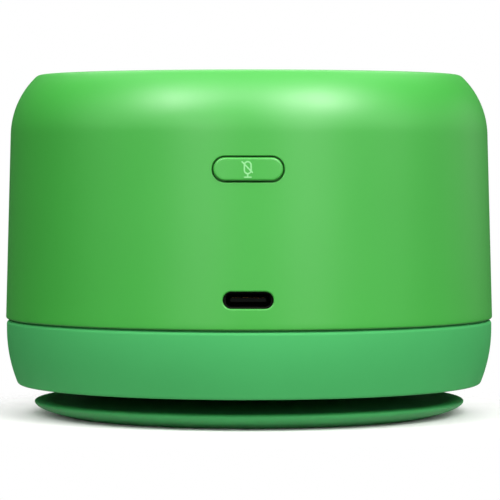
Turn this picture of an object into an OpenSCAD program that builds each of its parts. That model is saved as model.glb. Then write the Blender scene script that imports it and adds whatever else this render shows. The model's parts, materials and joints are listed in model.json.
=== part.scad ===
// Shower speaker: a round twist-lock speaker on a suction cup.
// Millimetres, +Z from the suction cup towards the front grille.
// Z = 0 is the plane that the cup seals against, and the controls and port face -Y.

/* [Housing] */
// Diameter of the housing at the seam, its widest place
body_d = 96.9; // [96:0.1:98]
// Height from the cup's sealing land to the front rim
total_h = 67.4; // [67:0.1:69]
// Draft angle of the housing's side wall
draft = 1.56; // [1:0.02:1.8]
// Radius of the large rounded shoulder
shoulder_r = 16.3; // [16:0.1:17]
// Radius of the crisp edge between shoulder and front rim
rim_edge_r = 1.8; // [1:0.1:2]
// Thickness of the housing's wall
wall = 2.2; // [1.8:0.1:2.3]

/* [Lock ring] */
// Height of the seam's middle above the sealing land
seam_z = 18.95; // [18.8:0.05:19.1]
// Width of the open seam between housing and lock ring
seam_gap = 0.3; // [0.3:0.05:0.5]
// Radius of the inward curve of the ring's side
ring_curve_r = 28; // [24:0.5:30]
// Height of the ring's flat underside
foot_z = 6.1; // [6:0.1:6.6]
// Radius of the ring's bottom corner
foot_corner_r = 0.7; // [0.6:0.1:1.2]
// Thickness of the soft grip sleeve
grip_t = 1.3; // [1:0.1:1.4]

/* [Twist lock] */
// Angle of the ring's turn from free to locked
twist_angle = 60; // [48:6:60]
// How far the turn draws the housing towards the cup
draw_in = 2.4; // [2:0.1:2.4]
// Radius of a cam pin
pin_r = 1.5; // [1.3:0.05:1.5]

/* [Suction cup] */
// Radius of the cup at the tip of its lip
cup_r = 42.8; // [42:0.1:43]
// Height of the lip's crest
lip_h = 3.1; // [2.9:0.1:3.3]
// Height of the cup's top at the stem
cup_top_z = 5.7; // [5.4:0.1:5.8]

/* [Front] */
// Radius of the opening that holds the grille
front_open_r = 38.5; // [38.2:0.1:38.8]
// Depth of the grille below the front rim
grille_sink = 0.6; // [0.4:0.1:0.8]
// Thickness of the grille
grille_t = 1.4; // [1.2:0.1:1.6]
// Radius of one sound hole
sound_hole_r = 0.9; // [0.6:0.05:1]
// Number of rings of sound holes
sound_rings = 9; // [5:1:9]
// Radius of the circle that the keys stand on
key_circle_r = 32.6; // [32.4:0.1:32.8]
// Radius of a key
key_r = 3; // [2.6:0.1:3.2]
// Travel of a key
key_travel = 0.5; // [0.3:0.1:0.5]

/* [Mute button] */
// Length of the opening for the mute button
mute_open_l = 13.5; // [12:0.1:14]
// Height of the opening for the mute button
mute_open_h = 4.94; // [4.4:0.02:5.4]
// Height of the button's middle above the sealing land
mute_z = 48.86; // [47:0.01:49]
// Gap between the button and its opening
mute_gap = 0.3; // [0.2:0.05:0.4]
// How far the button stands proud of the wall
mute_proud = 0.4; // [0.2:0.05:0.6]
// Travel of the mute button
mute_travel = 0.5; // [0.3:0.1:0.5]

/* [Charging port] */
// Width of the port's opening
port_w = 9.4; // [9.2:0.1:9.8]
// Height of the port's opening
port_h = 3.2; // [2.8:0.1:3.2]
// Height of the port's middle above the sealing land
port_z = 24.69; // [24.6:0.01:24.8]

/* [Driver] */
// Travel of the cone from rest, each way
cone_travel = 2; // [1:0.5:2]
// Outer radius of the driver's flange
driver_flange_r = 27; // [26.8:0.1:27]
// Thickness of the magnet
magnet_t = 6; // [5:0.5:6]

/* [Hidden] */

$fn = 64;

shell_green = "#5bc659";
ring_green = "#58be6d";
cup_green = "#4a9f60";
board_green = "#1d5a34";
dark_plastic = "#2b2d2f";
steel = "#b8bcc0";
copper = "#b87333";

// Small running gap, and the overshoot of a cutter past a face
run = 0.08;
past = 1;

// Housing: the wall leans in at the draft angle, and the shoulder arc is tangent to it
seam_r = body_d / 2;
shell_z = seam_z + seam_gap / 2;
seam_edge_r = 0.4;
shoulder_z = total_h - 12.2;
wall_top = [
    seam_r - (shoulder_z + shoulder_r * sin(draft) - shell_z - seam_edge_r) * tan(draft),
    shoulder_z + shoulder_r * sin(draft)
];
shoulder_x = wall_top.x - shoulder_r * cos(draft);
rim_z = total_h - rim_edge_r;
rim_x = shoulder_x + sqrt(pow(shoulder_r - rim_edge_r, 2) - pow(rim_z - shoulder_z, 2));
rim_a = atan2(rim_z - shoulder_z, rim_x - shoulder_x);
function wall_r(z) = seam_r - (z - shell_z - seam_edge_r) * tan(draft);

// Front stack, from the rim downwards
grille_top = total_h - grille_sink;
ledge_top = grille_top - grille_t;
ledge_t = 1.5;
ledge_z = ledge_top - ledge_t;
ledge_r = front_open_r - 1.6;
web_t = 0.6;
web_z = ledge_z - web_t;
cloth_t = 0.3;
baffle_top = web_z - 3.7;
baffle_t = 2.6;
baffle_z = baffle_top - baffle_t;
baffle_r = 41.5;
inner_rim = [27.2, 28.3];
outer_rim = [36.7, 38];
key_board_z = baffle_top + 0.6;
key_board_t = 1;
key_board_top = key_board_z + key_board_t;
switch_t = 1.2;
switch_top = key_board_top + switch_t;
plunger_r = 0.8;
plunger_up = key_travel + 0.05;
key_stem_z = switch_top + plunger_up;
key_flange_z = ledge_top - 1;
key_gap = 0.15;
corner_angles = [45, 135, 225, 315];
mic_angles = [22, 158];
light_angle = 252;

// Screws and the bosses that they go into
baffle_boss = [40.2, 1.9];
cover_boss = [seam_r - 8.85, 2.4];
cover_boss_top = 34;

// Bottom cover and its hub
cover_z = seam_z - 1.55;
cover_t = 2.5;
cover_top = cover_z + cover_t;
cover_r = seam_r - wall - 0.75;
plug_r = seam_r - wall - 0.35;
plug_top = cover_top + 2.7;
plug_wall = 2.9;
o_ring_r = 0.8;
o_ring_z = cover_top + 1.25;
hub_bore_r = 7.58;
hub_r = 10.25;
hub_z = 9.5;
bore_top = cover_top - 1.4;
slot_w = 2 * pin_r + 0.2;

// Twist lock
pin_z = 12.3;
pin_in = 4.95;
pin_out = 13.2;
cam_angles = [0, 120, 240];
cam_r = [hub_r + run, 14.5];
cam_z = [hub_z + 0.2, cover_z - 0.4];
cam_step = 6;
retainer_t = 1;
retainer_r = [8, 13.2];

// Lock ring
ring_r = seam_r - 0.15;
ring_top = seam_z - seam_gap / 2;
ring_bend_z = 17;
ring_core_top = ring_top - 0.45;
ring_skirt_in = cover_r + 0.4;
foot_in_r = 40;
web_zs = [12, 14];
foot_corner_z = foot_z + foot_corner_r;
foot_corner_x = ring_r - ring_curve_r
    + sqrt(pow(ring_curve_r - foot_corner_r, 2) - pow(ring_bend_z - foot_corner_z, 2));
foot_corner_a = atan2(foot_corner_z - ring_bend_z, foot_corner_x - ring_r + ring_curve_r);
sleeve_in_z = foot_z + grip_t;
sleeve_in_a = asin((sleeve_in_z - ring_bend_z) / (ring_curve_r - grip_t));

// Suction cup and stem
land_r = [34.8, 37];
lip_power = 2.2;
lip_tip_z = lip_h - 0.5;
stem_r = 7.5;
stem_top = 15.9;
stem_bore_r = 4.9;
stem_bore_z = 8.5;
flange_r = 14;
flange_zs = [3.4, 4.6];
dome_h = 2.5;

// Driver, measured down from the top of its flange
driver_z = baffle_top + 1;
cone_edge_r = 18.6;
cone_neck_r = 7.8;
coil_in_r = 7.6;
pole_r = 7.3;
plate_z = driver_z - 13.4;
magnet_z = plate_z - magnet_t;
yoke_z = magnet_z - 2.8;
driver_screw_r = 25.3;

// Main board and charging port
usb_h = 3.16;
usb_w = 8.94;
usb_l = 7.3;
board_top = port_z - usb_h / 2;
board_t = 1.6;
board_z = board_top - board_t;
board_r = 36;
port_face_y = -wall_r(port_z) + 1;
standoffs = [[20, 22.5], [-20, 22.5], [-20, -22.5], [20, -22.5]];

// Battery
battery = [52, 36, 8.6];
tray_z = board_top + 2.7;
tray_t = 1.2;
tray_top = tray_z + tray_t;

// Mute button stack, along Y from the outside in
mute_r = wall_r(mute_z);
mute_pocket_y = -mute_r + 1.45;
mute_flange_y = [mute_pocket_y + 0.2, mute_pocket_y + 1];
mute_pad_y = -mute_r + 3.75;
mute_seal_t = 0.5;
mute_bracket_y = mute_pad_y + mute_seal_t;
mute_board_y = mute_bracket_y + 3;
mute_switch_y = mute_board_y - switch_t;
mute_stem_y = mute_switch_y - mute_travel - 0.05;
mute_screw_x = 10.8;

// Points on an arc about [cx, cy]
function arc(cx, cy, r, a0, a1, n = 12) =
    [for (i = [0:n]) let (a = a0 + (a1 - a0) * i / n) [cx + r * cos(a), cy + r * sin(a)]];

// Points on a cubic curve through four control points
function curve(p, n = 10) =
    [for (i = [0:n]) let (t = i / n, u = 1 - t)
        u * u * u * p[0] + 3 * u * u * t * p[1] + 3 * u * t * t * p[2] + t * t * t * p[3]];

// Outline of a rectangle with rounded corners, centred
function rounded(w, h, r, n = 8) = concat(
    arc(w / 2 - r, h / 2 - r, r, 0, 90, n), arc(r - w / 2, h / 2 - r, r, 90, 180, n),
    arc(r - w / 2, r - h / 2, r, 180, 270, n), arc(w / 2 - r, r - h / 2, r, 270, 360, n));

// Outline of a bar with fully round ends, its half circles never quite meeting
function stadium(w, h, n = 12) = rounded(w, h, h / 2 - 0.01, n);

module turned(points) {
    rotate_extrude($fn = 96) polygon(points);
}

// A prism along Y between two y values, with its outline in X and Z at height z
module along_y(points, y0, y1, z) {
    translate([0, y1, z]) rotate([90, 0, 0]) linear_extrude(y1 - y0) polygon(points);
}

// A round rod along Y
module rod_y(r, y0, y1, x, z) {
    translate([x, y1, z]) rotate([90, 0, 0]) cylinder(r = r, h = y1 - y0);
}

// Pan-head screw pointing along +Z, its head's seat at the origin
module screw(shank_r, length, head_r, head_h) {
    translate([0, 0, -head_h]) cylinder(r = head_r, h = head_h);
    translate([0, 0, -0.001]) cylinder(r = shank_r, h = length + 0.001);
}

module at(r, a, z) {
    rotate(a) translate([r, 0, z]) children();
}

module box(x0, y0, z0, x1, y1, z1) {
    translate([x0, y0, z0]) cube([x1 - x0, y1 - y0, z1 - z0]);
}

// ---- Suction cup and twist lock ----

// Underside of the dome, from the middle out to the land
function dome(n = 12) =
    [for (i = [0:n]) let (t = i / n) [land_r[0] * t, dome_h * (1 - t * t)]];

// Outer underside, rising from the land to the lip's tip
function lip_under(n = 12) =
    [for (i = [n:-1:0]) let (a = 90 * i / n)
        [land_r[1] + (cup_r - land_r[1]) * pow(cos(a), lip_power), lip_tip_z * (1 - sin(a))]];

module suction_cup() {
    color(cup_green) turned(concat(
        [[0, flange_zs[0]]],
        dome(),
        lip_under(),
        curve([[cup_r, lip_tip_z], [cup_r, lip_h - 0.1], [cup_r - 0.7, lip_h],
            [cup_r - 1.3, lip_h]], 6),
        curve([[cup_r - 1.3, lip_h], [39.4, lip_h], [38.8, 2.3], [36.4, 2.45]], 8),
        curve([[36.4, 2.45], [28, 3.1], [22, 5.3], [11, cup_top_z]], 12),
        [[stem_r, cup_top_z], [stem_r, flange_zs[1]], [flange_r, flange_zs[1]],
            [flange_r, flange_zs[0]]]
    ));
}

module cup_stem() {
    color("#e8e8e4") difference() {
        turned([
            [0, flange_zs[0]], [flange_r, flange_zs[0]], [flange_r, flange_zs[1]],
            [stem_r, flange_zs[1]], [stem_r, stem_top - 0.4], [stem_r - 0.4, stem_top],
            [stem_bore_r, stem_top], [stem_bore_r, stem_bore_z], [0, stem_bore_z]
        ]);
        for (a = cam_angles) at(stem_bore_r - 1, a, pin_z)
            rotate([0, 90, 0]) cylinder(r = pin_r + 0.02, h = stem_r - stem_bore_r + 2);
    }
}

module cam_pins() {
    color(steel) for (a = cam_angles) at(pin_in, a, pin_z)
        rotate([0, 90, 0]) cylinder(r = pin_r, h = pin_out - pin_in);
}

module stem_plug() {
    color("#d8d8d4") turned([
        [0, stem_bore_z], [stem_bore_r - 0.05, stem_bore_z], [stem_bore_r - 0.05, stem_top],
        [3.4, stem_top], [3.4, stem_bore_z + 2], [0, stem_bore_z + 2]
    ]);
}

module glide_washer() {
    color("#f0f0ea") turned([
        [hub_r + 0.1, cover_z - 0.3], [cam_r[1], cover_z - 0.3], [cam_r[1], cover_z],
        [hub_r + 0.1, cover_z]
    ]);
}

retainer_screw_r = (hub_bore_r + hub_r) / 2;
retainer_screw_angles = [60, 180, 300];

module ring_retainer() {
    color(steel) difference() {
        turned([
            [retainer_r[0], hub_z - retainer_t], [retainer_r[1], hub_z - retainer_t],
            [retainer_r[1], hub_z], [retainer_r[0], hub_z]
        ]);
        for (a = retainer_screw_angles) {
            at(retainer_screw_r, a, hub_z - retainer_t - past) cylinder(r = 0.75, h = 3);
            at(retainer_screw_r, a, hub_z - retainer_t - past)
                cylinder(r = 1.25, h = past + 0.6, $fn = 48);
        }
    }
}

module retainer_screws() {
    color(steel) for (a = retainer_screw_angles)
        at(retainer_screw_r, a, hub_z - 0.4) screw(0.6, 4, 1.15, 0.55);
}

// Turned profile of the ring's inner frame: cam sleeve, web, skirt and foot
function core_profile() = concat(
    [[cam_r[0], cam_z[0]], [cam_r[1], cam_z[0]], [cam_r[1], web_zs[0]], [44.6, web_zs[0]],
        [43.7, sleeve_in_z + 1.5], [foot_in_r, sleeve_in_z + 1.5], [foot_in_r, sleeve_in_z]],
    arc(ring_r - ring_curve_r, ring_bend_z, ring_curve_r - grip_t, sleeve_in_a, 0),
    [[ring_r - grip_t, ring_core_top], [ring_skirt_in, ring_core_top],
        [ring_skirt_in, web_zs[1]], [cam_r[1], web_zs[1]], [cam_r[1], cam_z[1]],
        [cam_r[0], cam_z[1]]]
);

module ring_core() {
    color("#3f8f52") difference() {
        union() {
            turned(core_profile());
            for (a = [30:60:330]) rotate(a) box(cam_r[1] - 0.5, -0.6, hub_z, 44, 0.6, web_zs[0] + 0.5);
        }
        // Helical cam slots, cut by a radial cutter that climbs as it turns
        for (a = cam_angles, i = [0:cam_step:twist_angle])
            at(cam_r[0] - 1.3, a - i, pin_z + draw_in * i / twist_angle)
                rotate([0, 90, 0]) cylinder(r = pin_r + 0.25, h = pin_out + 0.2 - cam_r[0] + 1.3);
    }
}

module ring_sleeve() {
    edge = 0.35;
    color(ring_green) turned(concat(
        [[ring_skirt_in, ring_core_top], [ring_skirt_in, ring_top]],
        arc(ring_r - edge, ring_top - edge, edge, 90, 0, 6),
        arc(ring_r - ring_curve_r, ring_bend_z, ring_curve_r, 0, foot_corner_a, 16),
        arc(foot_corner_x, foot_corner_z, foot_corner_r, foot_corner_a, -90, 6),
        [[foot_in_r + 0.3, foot_z], [foot_in_r, foot_z + 0.3], [foot_in_r, sleeve_in_z]],
        arc(ring_r - ring_curve_r, ring_bend_z, ring_curve_r - grip_t, sleeve_in_a, 0),
        [[ring_r - grip_t, ring_core_top]]
    ));
}

// ---- Housing ----

function shell_profile() = concat(
    [[seam_r - wall, shell_z]],
    arc(seam_r - seam_edge_r, shell_z + seam_edge_r, seam_edge_r, -90, draft, 6),
    arc(shoulder_x, shoulder_z, shoulder_r, draft, rim_a, 24),
    arc(rim_x, rim_z, rim_edge_r, rim_a, 90, 6),
    arc(front_open_r + 0.3, total_h - 0.3, 0.3, 90, 180, 3),
    [[front_open_r, ledge_top], [ledge_r, ledge_top], [ledge_r, ledge_z]],
    arc(shoulder_x, shoulder_z, shoulder_r - wall,
        asin((ledge_z - shoulder_z) / (shoulder_r - wall)), draft, 16)
);

module upper_shell() {
    pad = rounded(17.8, 10.6, 2);
    color(shell_green) difference() {
        union() {
            turned(shell_profile());
            for (a = corner_angles) {
                at(baffle_boss[0], a, baffle_top) cylinder(r = baffle_boss[1], h = 5.2);
                at(cover_boss[0], a, cover_top)
                    cylinder(r = cover_boss[1], h = cover_boss_top - cover_top);
                rotate(a) box(cover_boss[0], -0.8, plug_top + 0.5, seam_r - 1.4, 0.8, cover_boss_top - 1);
            }
            along_y(pad, mute_pad_y - 2.6, mute_pad_y, mute_z);
            for (x = [-mute_screw_x, mute_screw_x])
                rod_y(1.7, mute_bracket_y - 2, mute_bracket_y, x, mute_z);
        }
        for (a = corner_angles) {
            at(baffle_boss[0], a, baffle_top - past) cylinder(r = 0.95, h = 4.8 + past);
            at(cover_boss[0], a, cover_top - past) cylinder(r = 1.1, h = 9 + past);
        }
        along_y(stadium(mute_open_l, mute_open_h), -mute_r - 3, mute_pocket_y + past, mute_z);
        along_y(rounded(16.4, 7.9, 1.6), mute_pocket_y, mute_pad_y + past, mute_z);
        for (x = [-mute_screw_x, mute_screw_x])
            rod_y(0.8, mute_bracket_y - 2, mute_bracket_y + past, x, mute_z);
        along_y(stadium(port_w, port_h), -seam_r - 2, port_face_y + past, port_z);
        along_y(rounded(12.4, 4.8, 1), port_face_y, -seam_r + 4.6, port_z);
    }
}

module bottom_cover() {
    groove = o_ring_r + 0.05;
    color("#2f7f43") difference() {
        union() {
            turned([
                [0, bore_top], [hub_bore_r, bore_top], [hub_bore_r, hub_z], [hub_r, hub_z],
                [hub_r, cover_z], [cover_r, cover_z], [cover_r, shell_z + 0.25],
                [plug_r, shell_z + 0.25],
                [plug_r, o_ring_z - groove], [plug_r - 1.4, o_ring_z - groove],
                [plug_r - 1.4, o_ring_z + groove], [plug_r, o_ring_z + groove],
                [plug_r, plug_top], [plug_r - plug_wall, plug_top],
                [plug_r - plug_wall, cover_top], [0, cover_top]
            ]);
            for (p = standoffs) translate([p.x, p.y, cover_top - 0.5])
                cylinder(r = 2.4, h = board_z - cover_top + 0.5);
        }
        for (a = cam_angles) rotate(a) translate([0, 0, pin_z + draw_in / 2])
            rotate([90, 0, 90]) linear_extrude(hub_r + 1)
                polygon(stadium_upright(slot_w, slot_w + draw_in));
        for (a = retainer_screw_angles)
            at(retainer_screw_r, a, hub_z - past) cylinder(r = 0.65, h = 4.4 + past);
        for (p = standoffs) translate([p.x, p.y, cover_z + 0.8])
            cylinder(r = 0.85, h = board_z - cover_z);
        for (a = corner_angles) {
            at(cover_boss[0], a, cover_z - past) cylinder(r = 1.3, h = cover_t + 2 * past);
            at(cover_boss[0], a, cover_z - past) cylinder(r = 2.5, h = past + 1.1);
        }
    }
}

// A stadium standing on end
function stadium_upright(w, h) = [for (p = stadium(h, w)) [-p.y, p.x]];

module cover_gasket() {
    color("#303030") rotate_extrude($fn = 96)
        translate([plug_r - 1.4 + 0.03 + o_ring_r, o_ring_z]) circle(r = o_ring_r, $fn = 32);
}

module cover_screws() {
    color(steel) for (a = corner_angles) at(cover_boss[0], a, cover_z + 1.1) screw(1.05, 8.5, 2.3, 1);
}

// ---- Front ----

module front_grille() {
    color(shell_green) translate([0, 0, ledge_top]) linear_extrude(grille_t) difference() {
        circle(r = front_open_r - 0.15, $fn = 128);
        circle(r = sound_hole_r, $fn = 24);
        for (k = [1:sound_rings], i = [0:6 * k - 1]) rotate(60 * i / k)
            translate([3 * k, 0]) circle(r = sound_hole_r, $fn = 24);
        for (a = [0:90:270]) rotate(a) translate([key_circle_r, 0]) circle(r = key_r + key_gap);
        for (a = mic_angles) rotate(a) translate([key_circle_r, 0]) circle(r = 0.4, $fn = 24);
        rotate(light_angle) translate([key_circle_r, 0]) circle(r = 0.85, $fn = 24);
    }
}

// Cloth behind the sound holes only, so it stays clear of the keys
module grille_cloth() {
    color("#223328") translate([0, 0, ledge_top - cloth_t])
        cylinder(r = 3 * sound_rings + 1.2, h = cloth_t, $fn = 128);
}

module keypad_web() {
    color("#4c5550") translate([0, 0, web_z]) linear_extrude(web_t) difference() {
        circle(r = outer_rim[1] + 0.2, $fn = 128);
        circle(r = inner_rim[0] + 0.2, $fn = 128);
        for (a = [0:90:270]) rotate(a) translate([key_circle_r, 0]) circle(r = 1.5);
        for (a = mic_angles) rotate(a) translate([key_circle_r, 0]) circle(r = 1.65);
        rotate(light_angle) translate([key_circle_r, 0]) circle(r = 1.1);
    }
}

// Key: round cap, a flange that the grille keeps in, and a stem to the switch
module key_at(a) {
    top = grille_top + 0.2;
    color("#66cf63") rotate(a) translate([key_circle_r, 0]) turned(concat(
        [[0, key_stem_z], [1.2, key_stem_z], [1.2, key_flange_z], [key_r + 0.8, key_flange_z],
            [key_r + 0.8, key_flange_z + 0.8], [key_r, key_flange_z + 0.8]],
        arc(key_r - 0.3, top - 0.3, 0.3, 0, 90, 4),
        [[0, top]]
    ));
}

module plunger_at(a) {
    color("#202020") at(key_circle_r, a, key_stem_z - 1) cylinder(r = plunger_r, h = 1);
}

module play_key() { key_at(90); }
module volume_up_key() { key_at(0); }
module volume_down_key() { key_at(180); }
module power_key() { key_at(270); }
module play_plunger() { plunger_at(90); }
module volume_up_plunger() { plunger_at(0); }
module volume_down_plunger() { plunger_at(180); }
module power_plunger() { plunger_at(270); }

module key_board() {
    color(board_green) translate([0, 0, key_board_z]) linear_extrude(key_board_t) difference() {
        circle(r = outer_rim[0] - 0.2, $fn = 128);
        circle(r = inner_rim[1] + 0.3, $fn = 128);
        for (a = corner_angles) rotate(a) translate([key_circle_r, 0]) circle(r = 1);
    }
}

module key_switches() {
    color(steel) for (a = [0:90:270]) difference() {
        at(key_circle_r, a, key_board_top + switch_t / 2) cube([4.2, 4.2, switch_t], center = true);
        at(key_circle_r, a, key_board_top + 0.1) cylinder(r = plunger_r + 0.05, h = switch_t);
    }
}

module microphones() {
    color("#c9c9c4") for (a = mic_angles)
        at(key_circle_r, a, key_board_top + 0.5) cube([2.6, 3.4, 1], center = true);
}

module mic_boots() {
    color("#303030") for (a = mic_angles) at(key_circle_r, a, 0) turned([
        [0.5, key_board_top + 1], [1.5, key_board_top + 1], [1.5, ledge_top], [0.5, ledge_top]
    ]);
}

module status_light_pipe() {
    color("#eef6f2") at(key_circle_r, light_angle, 0) turned([
        [0, key_board_top + 0.7], [1, key_board_top + 0.7], [1, ledge_top - 0.5],
        [0.8, ledge_top - 0.5], [0.8, grille_top - 0.15], [0.65, grille_top], [0, grille_top]
    ]);
}

module front_baffle() {
    color(dark_plastic) difference() {
        union() {
            turned([
                [23.6, baffle_z], [baffle_r, baffle_z], [baffle_r, baffle_top],
                [outer_rim[1], baffle_top], [outer_rim[1], web_z], [outer_rim[0], web_z],
                [outer_rim[0], baffle_top], [inner_rim[1], baffle_top], [inner_rim[1], web_z],
                [inner_rim[0], web_z], [inner_rim[0], baffle_top], [23.6, baffle_top]
            ]);
            for (a = corner_angles) at(key_circle_r, a, baffle_top - 0.5)
                cylinder(r = 1.8, h = key_board_z - baffle_top + 0.5);
        }
        for (a = corner_angles) {
            at(baffle_boss[0], a, baffle_z - past) cylinder(r = 1.1, h = baffle_t + 2 * past);
            at(key_circle_r, a, baffle_z - past) cylinder(r = 0.85, h = baffle_t + 2 * past);
            at(driver_screw_r, a, baffle_z - past) cylinder(r = 0.85, h = baffle_t + 2 * past);
        }
        // Slot for the flexible lead to the key board
        box(34.8, -3.6, baffle_z - past, 36.2, 3.6, baffle_top + past);
    }
}

module baffle_screws() {
    color(steel) for (a = corner_angles) at(baffle_boss[0], a, baffle_z) screw(0.9, 7, 2, 1.4);
}

// The same small screw holds the driver and the key board down on the baffle
module front_screws() {
    color(steel) for (a = corner_angles) {
        at(driver_screw_r, a, driver_z) mirror([0, 0, 1]) screw(0.8, 3.3, 1.3, 0.9);
        at(key_circle_r, a, key_board_top) mirror([0, 0, 1]) screw(0.8, 3.3, 1.3, 0.9);
    }
}

// ---- Driver ----

module driver_basket() {
    color("#3a3c3e") translate([0, 0, driver_z]) difference() {
        union() {
            turned([
                [driver_flange_r, 0], [driver_flange_r, -1], [23.3, -1], [20.9, -8.2], [17.4, -8.2],
                [17.4, -10.4], [9, -10.4], [9, -9.4], [16.4, -9.4], [16.4, -7.2], [19.9, -7.2],
                [22.3, 0]
            ]);
            box(-3.5, 20.6, -7.6, 3.5, 21.9, -5.4);
        }
        for (a = corner_angles) {
            at(16, a, -6.6) translate([0, -7, 0]) cube([10, 14, 4.4]);
            at(driver_screw_r, a, -1 - past) cylinder(r = 1, h = 1 + 2 * past);
        }
    }
}

// Half-roll surround from the flange in to the cone's edge
module driver_surround() {
    mid = (22.4 + 18.7) / 2;
    color("#26282a") translate([0, 0, driver_z]) turned(concat(
        [[24, 0], [24, 0.4]],
        arc(mid, 0, 2.25, 10, 170, 16),
        [[17.8, 0.4], [17.8, 0]],
        arc(mid, 0, 1.85, 180, 0, 16)
    ));
}

module driver_cone() {
    color("#44484c") translate([0, 0, driver_z]) turned(concat(
        curve([[cone_edge_r, 0], [cone_edge_r - 3.6, -1.9], [11, -3.4], [cone_neck_r + 0.1, -4]], 8),
        curve([[cone_neck_r + 0.1, -4.45], [11, -3.85], [cone_edge_r - 3.5, -2.35],
            [cone_edge_r, -0.45]], 8)
    ));
}

module dust_cap() {
    rise = 2.4;
    base_r = 8.9;
    sphere_r = (base_r * base_r + rise * rise) / (2 * rise);
    half_a = asin(base_r / sphere_r);
    color("#2e3033") translate([0, 0, driver_z - 3.55]) turned(concat(
        arc(0, rise - sphere_r, sphere_r, 90, 90 - half_a),
        arc(0, rise - sphere_r, sphere_r - 0.3, 90 - half_a, 90)
    ));
}

module voice_coil() {
    color(copper) translate([0, 0, driver_z]) turned([
        [coil_in_r, -14.2], [cone_neck_r, -14.2], [cone_neck_r, -13.9], [8.25, -13.9], [8.25, -9.9],
        [cone_neck_r, -9.9], [cone_neck_r, -3.7], [coil_in_r, -3.7]
    ]);
}

// Corrugated disc that centres the coil
function ripple(z, r0, r1, n = 32) =
    [for (i = [0:n]) let (t = i / n) [r0 + (r1 - r0) * t, z + 0.35 * sin(360 * 4 * t)]];

module spider() {
    top = ripple(-6.7, 8.4, 16.2);
    bottom = ripple(-7, 8.4, 16.2);
    color("#c8a24a") translate([0, 0, driver_z]) turned(concat(
        [[cone_neck_r + 0.05, -6.7]], top, [[16.6, -6.9], [19.2, -6.9], [19.2, -7.2], [16.6, -7.2]],
        [for (i = [len(bottom) - 1:-1:0]) bottom[i]], [[cone_neck_r + 0.05, -7]]
    ));
}

module top_plate() {
    color(steel) translate([0, 0, driver_z]) turned([
        [8.7, -13.4], [16, -13.4], [16, -10.4], [8.7, -10.4]
    ]);
}

module magnet() {
    color("#4a4a4c") turned([[10.5, magnet_z], [18, magnet_z], [18, plate_z], [10.5, plate_z]]);
}

module yoke() {
    color(steel) turned([
        [1.5, yoke_z], [17, yoke_z], [17.4, yoke_z + 0.4], [17.4, magnet_z], [pole_r, magnet_z],
        [pole_r, driver_z - 10.9], [pole_r - 0.3, driver_z - 10.6], [1.5, driver_z - 10.6]
    ]);
}

module driver_terminals() {
    color("#7a5a30") box(-4.5, 21.9, driver_z - 8, 4.5, 22.7, driver_z - 5);
    color(copper) for (x = [-2, 2]) box(x - 1, 22.7, driver_z - 7.4, x + 1, 23, driver_z - 5.6);
}

// ---- Electronics ----

module main_board() {
    color(board_green) translate([0, 0, board_z]) linear_extrude(board_t) difference() {
        union() {
            circle(r = board_r, $fn = 128);
            translate([-5.5, -42.2]) square([11, 12]);
        }
        for (p = standoffs) translate(p) circle(r = 1.1);
    }
}

// Soldered parts, each [x, y, length, width, height], on the main board's top
parts_on_board = [
    [0, 2, 10, 10, 1.2], [14, 5, 5, 5, 1], [-14, 6, 6, 6, 2.3], [-12, -10, 4, 6, 1.2],
    [12, -10, 7, 5, 1.4], [0, -22, 5, 5, 1], [-4, 14, 3, 5, 1.2], [8, 17, 4, 3, 0.9]
];
connectors = [[0, 30, 8, 4, 2.1], [-31, 0, 4, 7, 2.1], [33, 0, 3, 7.4, 1.9], [5, -32.6, 5.4, 3, 1.9]];

module board_components() {
    color("#1c1c1e") for (p = concat(parts_on_board, connectors))
        translate([p.x - p[2] / 2, p.y - p[3] / 2, board_top]) cube([p[2], p[3], p[4]]);
    // Status light on the key board
    color("white") at(key_circle_r, light_angle, key_board_top + 0.3) cube([1.4, 1.4, 0.6], center = true);
}

module board_screws() {
    color(steel) for (p = standoffs) translate([p.x, p.y, tray_top])
        mirror([0, 0, 1]) screw(0.8, tray_top - cover_z - 1.2, 1.7, 1.2);
}

module usb_receptacle() {
    color(steel) difference() {
        along_y(rounded(usb_w, usb_h, 1.25), port_face_y + 0.1, port_face_y + 0.1 + usb_l, port_z);
        along_y(rounded(usb_w - 0.6, usb_h - 0.6, 0.95), port_face_y - past, port_face_y + 6.4, port_z);
    }
}

module usb_tongue() {
    color("#18181a") along_y(rounded(6.7, 0.7, 0.2), port_face_y + 1, port_face_y + 6.4, port_z);
}

module usb_seal() {
    color("#303030") difference() {
        along_y(rounded(11.6, 4.5, 1.6), port_face_y, port_face_y + 1.3, port_z);
        along_y(rounded(usb_w + 0.04, usb_h + 0.04, 1.27), port_face_y - past, port_face_y + 3, port_z);
    }
}

module battery_pack() {
    color("#9aa7b8") translate([0, 0, tray_top]) linear_extrude(battery.z)
        polygon(rounded(battery.x, battery.y, 3));
}

module battery_bracket() {
    lip_x = battery.x / 2 + 0.4;
    color(dark_plastic) difference() {
        union() {
            box(-lip_x - 1.2, -20, tray_z, lip_x + 1.2, 20, tray_top);
            for (s = [-1, 1]) box(s > 0 ? lip_x : -lip_x - 1.2, -14, tray_z,
                s > 0 ? lip_x + 1.2 : -lip_x, 14, tray_top + 3.5);
            for (p = standoffs) {
                translate([p.x, p.y, board_top]) cylinder(r = 2.6, h = tray_top - board_top);
                box(p.x - 2, p.y > 0 ? 18 : p.y, tray_z, p.x + 2, p.y > 0 ? p.y : -18, tray_top);
            }
        }
        for (p = standoffs) translate([p.x, p.y, board_top - past]) cylinder(r = 1, h = 8);
    }
}

// ---- Mute button ----

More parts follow.
